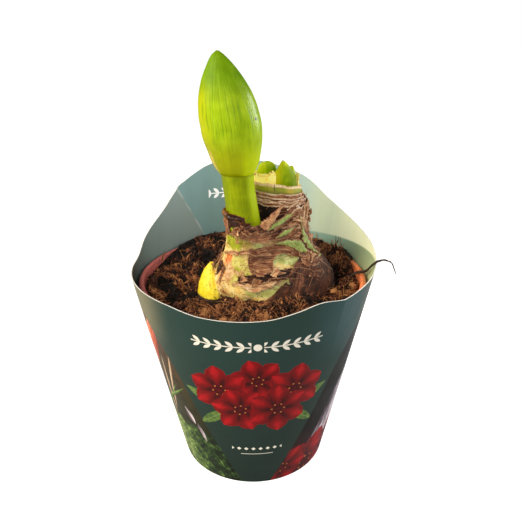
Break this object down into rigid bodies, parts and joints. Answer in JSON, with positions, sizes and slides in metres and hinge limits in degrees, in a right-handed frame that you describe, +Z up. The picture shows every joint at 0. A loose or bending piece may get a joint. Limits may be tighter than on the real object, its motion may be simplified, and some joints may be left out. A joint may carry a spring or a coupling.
{
  "type": "potted amaryllis bulb",
  "caption": "Forced amaryllis bulb with a closed flower bud on a short stem and young leaves, in a terracotta nursery pot inside a tall-backed printed card sleeve.",
  "frame": {"origin": "the centre of the pot's flat underside, on the surface that the pot stands on", "axes": "+Z up along the pot's axis; -Y towards the low front of the sleeve; +Y towards its tall back; +X to the right as seen from the front, away from the flower stem"},
  "size_m": [0.1486, 0.1465, 0.2359],
  "materials": {
    "terracotta_plastic": "satin",
    "printed_card": "satin",
    "potting_soil": "matte",
    "bulb_flesh": "satin",
    "dry_skin": "matte",
    "green_skin": "matte",
    "stem_green": "satin",
    "leaf_green": "satin",
    "dry_root": "matte"
  },
  "bodies": {
    "root": {"pot": "terracotta_plastic", "sleeve": "printed_card", "soil": "potting_soil", "bulb": "bulb_flesh", "neck_skin_inner": "dry_skin", "neck_skin_outer": "dry_skin", "tunic_collar": "dry_skin", "tunic_shoulder": "dry_skin", "tunic_front": "dry_skin", "tunic_right": "dry_skin", "tunic_back": "dry_skin", "dry_sheath": "dry_skin", "ribbon_curled": "dry_skin", "ribbon_green_upper": "green_skin", "ribbon_green_lower": "green_skin", "ribbon_fork_right": "green_skin", "ribbon_fork_left": "green_skin", "leaf_front": "leaf_green", "leaf_right": "leaf_green", "leaf_back": "leaf_green", "flower_stem": "stem_green", "dry_fibre": "dry_root"}
  },
  "joints": []
}
